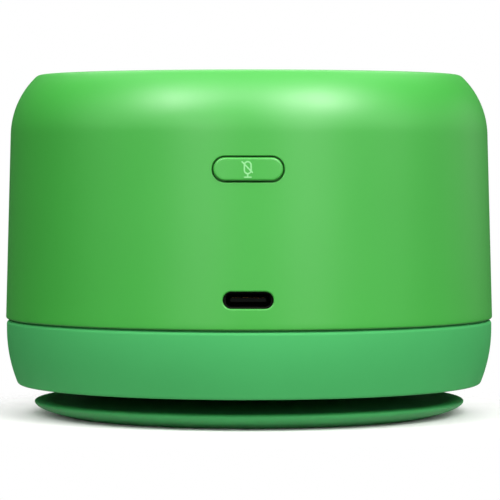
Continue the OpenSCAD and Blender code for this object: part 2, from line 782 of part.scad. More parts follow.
module mute_button() {
    face = wall_r(mute_z) + mute_proud;
    drop = 5 * tan(draft);
    color(shell_green) {
        intersection() {
            turned([[42, mute_z - 5], [face + drop, mute_z - 5], [face - drop, mute_z + 5],
                [42, mute_z + 5]]);
            along_y(stadium(mute_open_l - 2 * mute_gap, mute_open_h - 2 * mute_gap),
                -mute_r - 3, mute_flange_y[0] + 0.1, mute_z);
        }
        along_y(rounded(15.4, 6.9, 1.4), mute_flange_y[0], mute_flange_y[1], mute_z);
        rod_y(1, mute_flange_y[1] - 0.1, mute_stem_y, 0, mute_z);
    }
}

module mute_plunger() {
    color("#202020") rod_y(plunger_r, mute_stem_y, mute_stem_y + 1, 0, mute_z);
}

module mute_switch() {
    color(steel) difference() {
        box(-3, mute_switch_y, mute_z - 1.8, 3, mute_board_y, mute_z + 1.8);
        rod_y(plunger_r + 0.05, mute_switch_y - past, mute_board_y - 0.05, 0, mute_z);
    }
}

module mute_board() {
    color(board_green) difference() {
        along_y(rounded(16.4, 9, 1), mute_board_y, mute_board_y + 1, mute_z);
        for (x = [-7.4, 7.4]) rod_y(0.65, mute_board_y - past, mute_board_y + 2, x, mute_z);
    }
}

module mute_bracket() {
    color(dark_plastic) difference() {
        union() {
            along_y(rounded(25, 9.2, 2), mute_bracket_y, mute_bracket_y + 1, mute_z);
            for (x = [-7.4, 7.4]) {
                box(x - 0.7, mute_bracket_y + 0.5, mute_z - 4, x + 0.7, mute_board_y, mute_z + 4);
                rod_y(0.6, mute_board_y - 0.5, mute_board_y + 1.4, x, mute_z);
            }
        }
        rod_y(1.3, mute_bracket_y - past, mute_bracket_y + 2, 0, mute_z);
        for (x = [-mute_screw_x, mute_screw_x])
            rod_y(0.95, mute_bracket_y - past, mute_bracket_y + 2, x, mute_z);
    }
}

module mute_seal() {
    color("#4c5550") difference() {
        along_y(rounded(17.8, 10.6, 2), mute_pad_y, mute_bracket_y, mute_z);
        rod_y(1.2, mute_pad_y - past, mute_bracket_y + past, 0, mute_z);
    }
}

module mute_screws() {
    color(steel) for (x = [-mute_screw_x, mute_screw_x])
        translate([x, mute_bracket_y + 1, mute_z]) rotate([90, 0, 0]) screw(0.75, 2.8, 1.5, 0.9);
}

// ---- Leads, swept along routes that stay inside the housing ----

function unit(v) = v / norm(v);
function heading(p, i) = unit(p[min(i + 1, len(p) - 1)] - p[max(i - 1, 0)]);

// Points between p[i] and p[i + 1] on a curve that passes through every point
function between(p, i, n) =
    let (a = p[max(i - 1, 0)], b = p[i], c = p[i + 1], d = p[min(i + 2, len(p) - 1)])
    [for (k = [0:n - 1]) let (t = k / n)
        b + (c - a) * t / 2 + (2 * a - 5 * b + 4 * c - d) * t * t / 2
            + (3 * b - a - 3 * c + d) * t * t * t / 2];
function smooth(p, n = 4) =
    concat([for (i = [0:len(p) - 2]) each between(p, i, n)], [p[len(p) - 1]]);

// Section of n corners, half as thick as a across the route's plane and b along its normal
function section(p, i, normal, a, b, n) =
    let (t = heading(p, i), s = unit(cross(t, normal)))
    [for (k = [0:n - 1]) let (q = 360 * (k + 0.5) / n) p[i] + s * a * cos(q) + normal * b * sin(q)];

module swept(route, normal, a, b, n) {
    p = smooth(route);
    last = len(p) - 1;
    polyhedron(
        points = [for (i = [0:last]) each section(p, i, normal, a, b, n)],
        faces = concat(
            [[for (k = [0:n - 1]) k]],
            [for (i = [0:last - 1], k = [0:n - 1]) [i * n + k, i * n + n + k, i * n + (k + 1) % n]],
            [for (i = [0:last - 1], k = [0:n - 1])
                [i * n + (k + 1) % n, i * n + n + k, i * n + n + (k + 1) % n]],
            [[for (k = [n - 1:-1:0]) last * n + k]]
        )
    );
}

module speaker_leads() {
    for (x = [-2, 2]) color(x < 0 ? "#202020" : "#b03028") swept([
        [x, 23.05, 54.1], [x, 24.6, 53.7], [x, 28, 50], [x, 30.4, 44], [x, 31, 35], [x, 30.4, 29],
        [x, 30, board_top + 2.15]
    ], [1, 0, 0], 0.55, 0.55, 8);
}

module battery_leads() {
    for (y = [-1.4, 1.4]) color(y < 0 ? "#202020" : "#b03028") swept([
        [-26.05, y, 33], [-28, y, 33.2], [-30.4, y, 31.6], [-31.2, y, 29], [-31, y, board_top + 2.15]
    ], [0, 1, 0], 0.6, 0.6, 8);
}

module ribbon_cables() {
    color("#d8b070") {
        swept([
            [35.5, 0, key_board_z - 0.05], [35.5, 0, 57], [35.7, 0, 50], [35.4, 0, 40],
            [34.6, 0, 30], [33.4, 0, board_top + 1.95]
        ], [0, 1, 0], 0.2, 4.2, 4);
        swept([
            [5, mute_board_y + 1.2, 47], [5, mute_board_y + 1.3, 44], [5, -38.2, 38], [5, -36, 31],
            [5, -33.2, board_top + 1.95]
        ], [1, 0, 0], 0.2, 2.8, 4);
    }
}

suction_cup();
cup_stem();
cam_pins();
stem_plug();
upper_shell();
bottom_cover();
cover_gasket();
cover_screws();
glide_washer();
ring_retainer();
retainer_screws();
ring_core();
ring_sleeve();
front_grille();
grille_cloth();
keypad_web();
play_key();
volume_up_key();
volume_down_key();
power_key();
play_plunger();
volume_up_plunger();
volume_down_plunger();
power_plunger();
key_board();
key_switches();
microphones();
mic_boots();
status_light_pipe();
front_baffle();
baffle_screws();
front_screws();
driver_basket();
driver_surround();
driver_cone();
dust_cap();
voice_coil();
spider();
top_plate();
magnet();
yoke();
driver_terminals();
main_board();
board_components();
board_screws();
usb_receptacle();
usb_tongue();
usb_seal();
battery_pack();
battery_bracket();
mute_button();
mute_plunger();
mute_switch();
mute_board();
mute_bracket();
mute_seal();
mute_screws();
speaker_leads();
battery_leads();
ribbon_cables();
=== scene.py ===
"""Shower speaker on its suction cup: the looks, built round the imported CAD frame."""
import json
import math
from collections import namedtuple

import bmesh
import bpy
from mathutils import Matrix, Vector
from mathutils.geometry import delaunay_2d_cdt


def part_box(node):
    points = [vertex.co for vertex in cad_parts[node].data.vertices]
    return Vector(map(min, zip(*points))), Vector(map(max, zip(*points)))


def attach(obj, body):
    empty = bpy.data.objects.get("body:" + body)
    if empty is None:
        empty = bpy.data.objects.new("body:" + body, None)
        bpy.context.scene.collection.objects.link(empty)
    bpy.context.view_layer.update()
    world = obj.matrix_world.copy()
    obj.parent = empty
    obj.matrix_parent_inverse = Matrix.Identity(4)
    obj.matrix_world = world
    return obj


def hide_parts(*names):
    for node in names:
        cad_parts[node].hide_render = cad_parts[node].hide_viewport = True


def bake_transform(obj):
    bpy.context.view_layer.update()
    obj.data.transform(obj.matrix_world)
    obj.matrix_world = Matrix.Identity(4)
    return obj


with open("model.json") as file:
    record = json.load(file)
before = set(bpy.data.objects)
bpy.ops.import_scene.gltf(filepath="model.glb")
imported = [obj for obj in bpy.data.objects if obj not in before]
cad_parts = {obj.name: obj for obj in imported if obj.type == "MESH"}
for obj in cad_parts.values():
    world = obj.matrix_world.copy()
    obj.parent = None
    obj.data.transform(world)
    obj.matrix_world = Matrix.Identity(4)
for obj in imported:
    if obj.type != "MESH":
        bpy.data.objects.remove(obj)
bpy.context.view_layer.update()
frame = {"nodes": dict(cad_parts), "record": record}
SCENE = bpy.context.scene
SCENE.view_settings.view_transform = "Standard"

# ---- Driving dimensions, in millimetres and degrees; heights come from the frame ----

MM = 0.001


def box_mm(node):
    """Lowest and highest corner of a CAD node, in millimetres."""
    lo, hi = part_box(node)
    return lo / MM, hi / MM


def middle(node):
    """Middle of a CAD node's box, in millimetres."""
    lo, hi = box_mm(node)
    return (lo + hi) / 2


# Housing shell
SEAM_R = 48.45
DRAFT = 1.56
WALL = 2.2
SHOULDER_R = 16.3
SHOULDER_DROP = 12.2
RIM_EDGE = 1.8
RIM_INNER_EDGE = 0.3
SEAM_EDGE = 0.4
SHELL_Z = box_mm("upper_shell")[0].z
TOP_Z = box_mm("upper_shell")[1].z
COVER_BOSS = {"circle_r": 39.6, "r": 2.4, "hole_r": 1.1}
BAFFLE_BOSS = {"circle_r": 40.2, "r": 1.9, "hole_r": 0.95}

# Lock ring's grip
RING_R = SEAM_R - 0.15
RING_CURVE = 28.0
RING_BEND_Z = 17.0
RING_EDGE = 0.7
RING_LIP = (47.5, 0.08)
GRIP_T = 1.3
FOOT_CORNER = 0.7
FOOT_IN_R = 40.0
FOOT_IN_EDGE = 0.3
CORE_STEP = 0.45
RING_SKIRT_R = 45.9
FOOT_Z = box_mm("ring_sleeve")[0].z
RING_TOP = box_mm("ring_sleeve")[1].z

# Suction cup
CUP_R = 42.8
LIP_H = 3.1
LIP_TIP_Z = LIP_H - 0.5
CUP_TOP = box_mm("suction_cup")[1].z
LAND_R = (34.8, 37.0)
LIP_POWER = 2.2
DOME_H = 2.5
STEM_R = 7.5
STEM_FLANGE = (14.0, box_mm("cup_stem")[0].z, box_mm("cup_stem")[0].z + 1.2)

# Front
GRILLE_LO, GRILLE_HI = box_mm("front_grille")
OPEN_R = 38.5
FIT_GAP = 0.15
LEDGE_R = OPEN_R - 1.6
LEDGE_T = 1.5
HOLE_R = 0.9
HOLE_PITCH = 3.0
HOLE_RINGS = 9
KEY_CIRCLE = middle("volume_up_key").x
KEY_R = 3.0
MIC_R = 0.4
MIC_ANGLES = (22, 158)
LIGHT_R = 0.85
LIGHT_ANGLE = 252

# Mute button and charging port
MUTE_Z = middle("mute_button").z
MUTE_OPEN = (13.5, 4.94)
MUTE_GAP = 0.3
MUTE_PROUD = 0.4
MUTE_SINK = 1.45
PORT_Z = middle("usb_receptacle").z
PORT_OPEN = (9.4, 3.2)
PORT_FACE_Y = box_mm("usb_seal")[0].y

# Meshes and icons
COLUMNS = 512
SHARP_ANGLE = 35
CAP_STEPS = 6
ICON_SUNK = 0.05

# Stage
FLOOR_FADE = (34, 78)
FLOOR_SIZE = 1500
FLOOR_Z = -0.02
WORLD_LIGHT = 0.07
CAMERA_AT = Vector((2.1, -609.7, 50.76))
CAMERA_AIM = Vector((0.18, 0, 32.55))
CAMERA_LENS = 219.7

Window = namedtuple("Window", "z half_h rows half_columns")


# ---- Geometry helpers ----

def arc(cx, cz, r, a0, a1, n):
    """Points on an arc, angles in degrees."""
    steps = [math.radians(a0 + (a1 - a0) * i / n) for i in range(n + 1)]
    return [(cx + r * math.cos(a), cz + r * math.sin(a)) for a in steps]


def curve(p, n):
    """Points on a cubic curve through four control points."""
    out = []
    for i in range(n + 1):
        t = i / n
        u = 1 - t
        w = (u * u * u, 3 * u * u * t, 3 * u * t * t, t * t * t)
        out.append(tuple(sum(w[k] * p[k][c] for k in range(4)) for c in (0, 1)))
    return out


def clamp(v, limit):
    return max(-limit, min(limit, v))


def outline(b, w, h, rc, grow=0.0):
    """The point of a rounded rectangle, grown outwards, that faces the point b. All about its middle."""
    m = Vector((clamp(b.x, w / 2 - rc), clamp(b.y, h / 2 - rc)))
    away = b - m
    return m + away.normalized() * (rc + grow) if away.length > 1e-9 else m


def vert(bm, x, y, z):
    return bm.verts.new((x * MM, y * MM, z * MM))


def bridge(bm, a, b):
    """Faces between two closed loops of vertices, where a loop of one vertex is a pole."""
    n = max(len(a), len(b))
    if n == 1:
        return
    for j in range(n):
        k = (j + 1) % n
        if len(a) == 1:
            bm.faces.new((a[0], b[k], b[j]))
        elif len(b) == 1:
            bm.faces.new((a[j], a[k], b[0]))
        else:
            bm.faces.new((a[j], a[k], b[k], b[j]))


def lathe(bm, profile, segments, place=Matrix.Identity(4)):
    """A closed profile of (radius, height) turned about the vertical axis, then moved by place."""
    loops = []
    for r, z in profile:
        count = 1 if r < 1e-6 else segments
        ring = []
        for j in range(count):
            a = 2 * math.pi * j / segments
            p = place @ Vector((r * math.sin(a), -r * math.cos(a), z))
            ring.append(vert(bm, *p))
        loops.append(ring)
    for a, b in zip(loops, loops[1:] + loops[:1]):
        bridge(bm, a, b)


def piece(name, bm, body, slot, stands_for=(), material=None, level_flat=False):
    """Turns a bmesh into a piece that rides on a body, and stands for CAD nodes. A body of None leaves
    the piece unattached. The material is its slot's, unless another is given.
    With level_flat, a level face takes no slope from the rounded edges beside it."""
    bmesh.ops.remove_doubles(bm, verts=bm.verts, dist=1e-7)
    bmesh.ops.recalc_face_normals(bm, faces=bm.faces)
    limit = math.radians(SHARP_ANGLE)
    for e in bm.edges:
        e.smooth = len(e.link_faces) == 2 and e.calc_face_angle() < limit
    for f in bm.faces:
        f.smooth = not (level_flat and abs(f.normal.z) > 0.9999)
    mesh = bpy.data.meshes.new(name)
    bm.to_mesh(mesh)
    bm.free()
    mesh.materials.append(material or MATERIALS[slot])
    obj = bpy.data.objects.new(name, mesh)
    SCENE.collection.objects.link(obj)
    if stands_for:
        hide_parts(*stands_for)
    if body:
        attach(obj, body)
    return obj


# ---- Materials ----

def srgb(r, g, b):
    """Linear colour from 0 to 255 display values."""
    def lin(v):
        v /= 255
        return v / 12.92 if v <= 0.04045 else ((v + 0.055) / 1.055) ** 2.4
    return (lin(r), lin(g), lin(b), 1.0)


def shade(colour, k):
    """The colour made k times as bright."""
    return tuple(min(1.0, c * k) for c in colour[:3]) + (1.0,)


def finish_material(name, colour, rough, tint=0.05, blotch=18.0, grain=0.25, bump=0.15, depth=0.01,
                    rough_var=0.04, stretch=(1, 1, 1), weave=None, **sockets):
    """A procedural finish: blotchy colour and roughness, and a fine grain or weave in the bump.
    blotch, grain and weave are feature sizes and depth is the bump's, all in millimetres.
    The sockets are set on the shader itself."""
    mat = bpy.data.materials.new(name)
    mat.use_nodes = True
    nodes, links = mat.node_tree.nodes, mat.node_tree.links
    bsdf = nodes["Principled BSDF"]
    for socket, value in sockets.items():
        bsdf.inputs[socket.replace("_", " ")].default_value = value

    coords = nodes.new("ShaderNodeTexCoord")
    mapping = nodes.new("ShaderNodeMapping")
    mapping.inputs["Scale"].default_value = stretch
    links.new(coords.outputs["Object"], mapping.inputs["Vector"])

    def noise(size_mm, detail, roughness=0.5):
        n = nodes.new("ShaderNodeTexNoise")
        n.inputs["Scale"].default_value = 1 / (size_mm * MM)
        n.inputs["Detail"].default_value = detail
        n.inputs["Roughness"].default_value = roughness
        links.new(mapping.outputs["Vector"], n.inputs["Vector"])
        return n.outputs["Fac"]

    big = noise(blotch, 3)
    ramp = nodes.new("ShaderNodeValToRGB")
    ramp.color_ramp.elements[0].position = 0.3
    ramp.color_ramp.elements[1].position = 0.7
    ramp.color_ramp.elements[0].color = shade(colour, 1 - tint)
    ramp.color_ramp.elements[1].color = shade(colour, 1 + tint)
    links.new(big, ramp.inputs["Fac"])
    links.new(ramp.outputs["Color"], bsdf.inputs["Base Color"])

    spread = nodes.new("ShaderNodeMapRange")
    spread.inputs["From Min"].default_value = 0.3
    spread.inputs["From Max"].default_value = 0.7
    spread.inputs["To Min"].default_value = rough - rough_var
    spread.inputs["To Max"].default_value = rough + rough_var
    links.new(noise(blotch * 0.35, 5, 0.65), spread.inputs["Value"])
    links.new(spread.outputs["Result"], bsdf.inputs["Roughness"])

    height = woven(nodes, links, mapping, weave) if weave else noise(grain, 2)
    relief = nodes.new("ShaderNodeBump")
    relief.inputs["Strength"].default_value = bump
    relief.inputs["Distance"].default_value = depth * MM
    links.new(height, relief.inputs["Height"])
    links.new(relief.outputs["Normal"], bsdf.inputs["Normal"])
    return mat


def woven(nodes, links, mapping, pitch):
    """Height of a plain weave with that thread pitch in millimetres, over X and Y."""
    waves = []
    for direction in ("X", "Y"):
        wave = nodes.new("ShaderNodeTexWave")
        wave.wave_type = "BANDS"
        wave.bands_direction = direction
        wave.inputs["Scale"].default_value = 0.314 / (pitch * MM)
        links.new(mapping.outputs["Vector"], wave.inputs["Vector"])
        waves.append(wave.outputs["Fac"])
    weave = nodes.new("ShaderNodeMath")
    weave.operation = "MULTIPLY"
    links.new(waves[0], weave.inputs[0])
    links.new(waves[1], weave.inputs[1])
    return weave.outputs["Value"]


MATERIALS = {
    "shell_plastic": finish_material(
        "satin_green_plastic", srgb(53, 151, 51), 0.42, tint=0.018, blotch=26, grain=0.22, bump=0.12,
        depth=0.006, rough_var=0.02, Specular_IOR_Level=0.68),
    "key_plastic": finish_material(
        "satin_key_plastic", srgb(64, 150, 60), 0.42, tint=0.02, blotch=9, grain=0.2, bump=0.12,
        depth=0.006, rough_var=0.02),
    "grip_silicone": finish_material(
        "soft_green_silicone", srgb(62, 153, 84), 0.66, tint=0.02, blotch=20, grain=0.12, bump=0.2,
        depth=0.006, rough_var=0.03, Specular_IOR_Level=0.15),
    "cup_silicone": finish_material(
        "dark_green_silicone", srgb(50, 136, 72), 0.55, tint=0.04, blotch=14, grain=0.6, bump=0.1,
        depth=0.01, rough_var=0.05, Specular_IOR_Level=0.25, Subsurface_Weight=0.1, Subsurface_Scale=0.002),
    "ring_plastic": finish_material(
        "ring_core_plastic", srgb(62, 140, 84), 0.5, tint=0.04, blotch=12, grain=0.3, bump=0.2),
    "cover_plastic": finish_material(
        "cover_plastic", srgb(46, 120, 64), 0.5, tint=0.04, blotch=12, grain=0.3, bump=0.2),
    "inner_plastic": finish_material(
        "black_moulded_plastic", srgb(38, 40, 42), 0.45, tint=0.1, blotch=8, grain=0.2, bump=0.25),
    "stem_nylon": finish_material(
        "white_nylon", srgb(226, 226, 220), 0.5, tint=0.03, blotch=6, grain=0.3, bump=0.2,
        Subsurface_Weight=0.05, Subsurface_Scale=0.002),
    "seal_silicone": finish_material(
        "black_silicone", srgb(44, 45, 46), 0.6, tint=0.08, blotch=7, grain=0.15, bump=0.25),
    "circuit_board": finish_material(
        "solder_mask", srgb(20, 84, 46), 0.28, tint=0.12, blotch=3, grain=0.8, bump=0.1,
        Coat_Weight=0.3),
    "chip_plastic": finish_material(
        "chip_packages", srgb(30, 30, 32), 0.55, tint=0.12, blotch=2, grain=0.1, bump=0.3),
    "steel": finish_material(
        "plated_steel", srgb(186, 190, 194), 0.28, tint=0.05, blotch=5, grain=0.15, bump=0.1,
        rough_var=0.06, stretch=(1, 1, 6), Metallic=1.0),
    "magnet": finish_material(
        "sintered_ferrite", srgb(66, 66, 68), 0.62, tint=0.12, blotch=2.5, grain=0.2, bump=0.4),
    "copper": finish_material(
        "enamelled_copper", srgb(184, 108, 52), 0.3, tint=0.1, blotch=2, grain=0.2, bump=0.3,
        stretch=(1, 1, 12), Metallic=0.9),
    "cone_paper": finish_material(
        "coated_paper_cone", srgb(58, 60, 63), 0.66, tint=0.14, blotch=1.6, grain=0.35, bump=0.5),
    "surround_rubber": finish_material(
        "butyl_surround", srgb(34, 35, 37), 0.48, tint=0.06, blotch=6, grain=0.2, bump=0.2),
    "spider_cloth": finish_material(
        "spider_cloth", srgb(196, 156, 66), 0.8, tint=0.08, blotch=3, bump=0.5, weave=0.4,
        Sheen_Weight=0.3),
    "acoustic_cloth": finish_material(
        "acoustic_cloth", srgb(26, 40, 30), 0.85, tint=0.1, blotch=4, bump=0.7, depth=0.06, weave=0.35,
        Sheen_Weight=0.3),
    "battery_foil": finish_material(
        "pouch_foil", srgb(160, 170, 184), 0.32, tint=0.05, blotch=6, grain=1.2, bump=0.2,
        Metallic=0.8),
    "ribbon_film": finish_material(
        "polyimide_film", srgb(206, 148, 60), 0.3, tint=0.06, blotch=5, grain=0.6, bump=0.1),
    "lead_jacket": finish_material(
        "wire_jacket", srgb(150, 36, 30), 0.4, tint=0.06, blotch=4, grain=0.3, bump=0.1),
    "light_pipe": finish_material(
        "clear_acrylic", srgb(238, 246, 242), 0.12, tint=0.02, blotch=3, grain=0.4, bump=0.05,
        Transmission_Weight=0.85, IOR=1.49),
}
ICON_INK = finish_material(
    "pale_icon_ink", srgb(126, 194, 126), 0.5, tint=0.03, blotch=1.5, grain=0.12, bump=0.25)
# Near-black and barely reflecting: painted shade for the charging port, so that its receptacle, tongue and
# seal read as a dark opening.
PORT_PAINTED_SHADE = finish_material(
    "port_painted_shade", srgb(13, 13, 12), 0.6, tint=0.1, blotch=2, grain=0.15, bump=0.2,
    Specular_IOR_Level=0.08)
GOLD = finish_material(
    "gold_contacts", srgb(214, 168, 84), 0.25, tint=0.05, blotch=0.6, grain=0.1, bump=0.1, Metallic=1.0)

for row in frame["record"]["subparts"]:
    node = frame["nodes"][row["node"]]
    node.data.materials.clear()
    node.data.materials.append(MATERIALS[row["material_slot"]])
# The port's receptacle, tongue and seal get the painted shade in place of their own steel and silicone
# colours.
for port_part in ("usb_receptacle", "usb_tongue", "usb_seal"):
    frame["nodes"][port_part].data.materials[0] = PORT_PAINTED_SHADE


# ---- Housing shell ----

def wall_r(z):
    """Outer radius of the drafted side wall at a height."""
    return SEAM_R - (z - SHELL_Z - SEAM_EDGE) * math.tan(math.radians(DRAFT))


SHOULDER_Z = TOP_Z - SHOULDER_DROP
WALL_TOP_Z = SHOULDER_Z + SHOULDER_R * math.sin(math.radians(DRAFT))
SHOULDER_X = wall_r(WALL_TOP_Z) - SHOULDER_R * math.cos(math.radians(DRAFT))
RIM_Z = TOP_Z - RIM_EDGE
RIM_X = SHOULDER_X + math.sqrt((SHOULDER_R - RIM_EDGE) ** 2 - (RIM_Z - SHOULDER_Z) ** 2)
RIM_A = math.degrees(math.atan2(RIM_Z - SHOULDER_Z, RIM_X - SHOULDER_X))
LEDGE_Z = GRILLE_LO.z - LEDGE_T
MUTE_FLOOR_Y = MUTE_SINK - wall_r(MUTE_Z)

# Parts of the wall's grid that give way to the port and to the mute button
PORT_WINDOW = Window(PORT_Z, 3.4, 8, 14)
MUTE_WINDOW = Window(MUTE_Z, 5.7, 16, 18)


def wall_heights():
    """Heights of the wall's rows, with even rows across each window."""
    levels = [SHELL_Z + SEAM_EDGE]
    for window in (PORT_WINDOW, MUTE_WINDOW):
        levels += [window.z - window.half_h, window.z + window.half_h]
    levels.append(WALL_TOP_Z)
    rows = (2, PORT_WINDOW.rows, 16, MUTE_WINDOW.rows, 1)
    heights = []
    for z0, z1, n in zip(levels, levels[1:], rows):
        heights += [z0 + (z1 - z0) * i / n for i in range(n)]
    return heights


def shell_rows():
    """The shell's closed profile, where its outer and inner wall rows start in it, and their heights."""
    heights = wall_heights()
    edge_x, edge_z = SEAM_R - SEAM_EDGE, SHELL_Z + SEAM_EDGE
    rows = [(SEAM_R - WALL, SHELL_Z)] + arc(edge_x, edge_z, SEAM_EDGE, -90, 0, 8)[:-1]
    first_outer = len(rows)
    rows += [(wall_r(z), z) for z in heights]
    rows += arc(SHOULDER_X, SHOULDER_Z, SHOULDER_R, DRAFT, RIM_A, 48)
    rows += arc(RIM_X, RIM_Z, RIM_EDGE, RIM_A, 90, 12)[1:]
    rows += arc(OPEN_R + RIM_INNER_EDGE, TOP_Z - RIM_INNER_EDGE, RIM_INNER_EDGE, 90, 180, 6)
    rows += [(OPEN_R, GRILLE_LO.z), (LEDGE_R, GRILLE_LO.z), (LEDGE_R, LEDGE_Z)]
    inner_r = SHOULDER_R - WALL
    start = math.degrees(math.asin((LEDGE_Z - SHOULDER_Z) / inner_r))
    rows += arc(SHOULDER_X, SHOULDER_Z, inner_r, start, DRAFT, 24)
    first_inner = len(rows)
    rows += [(wall_r(z) - WALL, z) for z in reversed(heights)]
    return rows, first_outer, first_inner, heights


def on_wall(q, z_mid, inset, depth=0.0):
    """A point seen along Y at q = (x, height above z_mid), on the wall's surface, then moved in."""
    z = z_mid + q.y
    return q.x, depth - math.sqrt((wall_r(z) - inset) ** 2 - q.x ** 2), z


def window_loops(z_mid, opening, pocket, fillet, face_y, pad=None):
    """Rules for the loops of a window, from its edge on the outside to its edge on the inside.
    Each rule maps the outer and inner edge points that face it to a point.
    opening is a width and height; pocket, and pad's shape, also have a corner radius."""
    w, h = opening
    full = (w, h, h / 2)
    rules = []
    fillet_steps = 6
    for t in (0.8, 0.6, 0.42, 0.27, 0.14, 0.05, 0.0):
        rules.append(lambda bo, bi, t=t: on_wall(
            outline(bo, *full, grow=fillet).lerp(bo, t), z_mid, 0))
    for k in range(1, fillet_steps + 1):
        a = math.radians(90 * k / fillet_steps)
        grow, depth = fillet * (1 - math.sin(a)), fillet * (1 - math.cos(a))
        rules.append(lambda bo, bi, grow=grow, depth=depth: on_wall(
            outline(bo, *full, grow=grow), z_mid, 0, depth))

    def flat(shape, y):
        rules.append(lambda bo, bi: (outline(bo, *shape).x, y, z_mid + outline(bo, *shape).y))

    flat(full, face_y)
    flat(pocket, face_y)
    last = pocket
    if pad:
        pad_shape, pad_y = pad
        flat(pocket, pad_y)
        flat(pad_shape, pad_y)
        last = pad_shape
    for t in (0.0, 0.5):
        rules.append(lambda bo, bi, t=t: on_wall(outline(bi, *last).lerp(bi, t), z_mid, WALL))
    return rules


def cut_window(bm, rings, outer, inner, half, z_mid, rules):
    """Fills the window left open in the grid with the loops that the rules give.
    outer and inner are the row numbers of the window, from its lowest height to its highest."""
    path = [(0, j) for j in range(-half, half)]
    path += [(i, half) for i in range(len(outer) - 1)]
    path += [(len(outer) - 1, j) for j in range(half, -half, -1)]
    path += [(i, -half) for i in range(len(outer) - 1, 0, -1)]
    edge_out = [rings[outer[i]][j % COLUMNS] for i, j in path]
    edge_in = [rings[inner[i]][j % COLUMNS] for i, j in path]
    seen = [
        [Vector((v.co.x / MM, v.co.z / MM - z_mid)) for v in edge]
        for edge in (edge_out, edge_in)
    ]
    loops = [edge_out]
    for rule in rules:
        loops.append([vert(bm, *rule(bo, bi)) for bo, bi in zip(*seen)])
    loops.append(edge_in)
    for a, b in zip(loops, loops[1:]):
        bridge(bm, a, b)


def screw_bosses(bm, circle_r, r, hole_r, z0, z1, hole_z):
    """Four screw bosses on a circle, which open downwards."""
    profile = [(0, z1), (r, z1), (r, z0), (hole_r, z0), (hole_r, hole_z), (0, hole_z)]
    for angle in (45, 135, 225, 315):
        a = math.radians(angle)
        lathe(bm, profile, 32, Matrix.Translation((circle_r * math.cos(a), circle_r * math.sin(a), 0)))


def housing_shell():
    """The shell as one grid of rows and columns, with two windows cut in its wall, and screw bosses."""
    rows, first_outer, first_inner, heights = shell_rows()
    bm = bmesh.new()
    rings = []
    for r, z in rows:
        angles = [2 * math.pi * j / COLUMNS for j in range(COLUMNS)]
        rings.append([vert(bm, r * math.sin(a), -r * math.cos(a), z) for a in angles])

    count = len(heights)
    windows = []
    for window in (PORT_WINDOW, MUTE_WINDOW):
        sill = window.z - window.half_h
        start = min(range(count), key=lambda i: abs(heights[i] - sill))
        outer = [first_outer + start + i for i in range(window.rows + 1)]
        inner = [first_inner + count - 1 - start - i for i in range(window.rows + 1)]
        windows.append((outer, inner, window.half_columns))

    open_cells = set()
    for outer, inner, half in windows:
        for side in (outer[:-1], inner[1:]):
            open_cells.update((i, j % COLUMNS) for i in side for j in range(-half, half))
    for i in range(len(rows)):
        a, b = rings[i], rings[(i + 1) % len(rows)]
        for j in range(COLUMNS):
            if (i, j) not in open_cells:
                k = (j + 1) % COLUMNS
                bm.faces.new((a[j], a[k], b[k], b[j]))

    port_fillet, mute_fillet = 0.25, 0.12
    port_pocket = (12.4, 4.8, 1.0)
    mute_pocket = (16.4, 7.9, 1.6)
    mute_pad = ((17.8, 10.6, 2.0), box_mm("mute_seal")[0].y)
    cut_window(bm, rings, *windows[0], PORT_Z, window_loops(
        PORT_Z, PORT_OPEN, port_pocket, port_fillet, PORT_FACE_Y))
    cut_window(bm, rings, *windows[1], MUTE_Z, window_loops(
        MUTE_Z, MUTE_OPEN, mute_pocket, mute_fillet, MUTE_FLOOR_Y, mute_pad))

    cover_top = SHELL_Z + 0.75
    cover_boss_top, cover_hole = 34.0, 9
    baffle_top = box_mm("front_baffle")[0].z + 2.6
    baffle_boss_h, baffle_hole = 5.2, 4.8
    screw_bosses(bm, z0=cover_top, z1=cover_boss_top, hole_z=cover_top + cover_hole, **COVER_BOSS)
    screw_bosses(bm, z0=baffle_top, z1=baffle_top + baffle_boss_h, hole_z=baffle_top + baffle_hole,
                 **BAFFLE_BOSS)
    piece("housing_shell", bm, "housing", "shell_plastic", ["upper_shell"])


# ---- Lock ring's soft grip ----

def ring_grip():
    """The soft sleeve: a thin lip in the seam, a curved side and a rounded foot."""
    centre = RING_R - RING_CURVE
    corner_z = FOOT_Z + FOOT_CORNER
    corner_x = centre + math.sqrt((RING_CURVE - FOOT_CORNER) ** 2 - (RING_BEND_Z - corner_z) ** 2)
    corner_a = math.degrees(math.atan2(corner_z - RING_BEND_Z, corner_x - centre))
    inner_z = FOOT_Z + GRIP_T
    inner_a = math.degrees(math.asin((inner_z - RING_BEND_Z) / (RING_CURVE - GRIP_T)))
    core_top = RING_TOP - CORE_STEP
    lip_r, lip_gap = RING_LIP
    lip_z = SHELL_Z - lip_gap
    profile = [(RING_SKIRT_R, core_top), (RING_SKIRT_R, lip_z), (lip_r, lip_z), (lip_r, RING_TOP)]
    profile += arc(RING_R - RING_EDGE, RING_TOP - RING_EDGE, RING_EDGE, 90, 0, 8)
    profile += arc(centre, RING_BEND_Z, RING_CURVE, 0, corner_a, 40)
    profile += arc(corner_x, corner_z, FOOT_CORNER, corner_a, -90, 12)[1:]
    profile += arc(FOOT_IN_R + FOOT_IN_EDGE, FOOT_Z + FOOT_IN_EDGE, FOOT_IN_EDGE, -90, -180, 4)
    profile += [(FOOT_IN_R, inner_z)]
    profile += arc(centre, RING_BEND_Z, RING_CURVE - GRIP_T, inner_a, 0, 20)
    profile += [(RING_R - GRIP_T, core_top)]
    bm = bmesh.new()
    lathe(bm, profile, COLUMNS)
    piece("lock_ring_grip", bm, "lock_ring", "grip_silicone", ["ring_sleeve"])


# ---- Suction cup ----

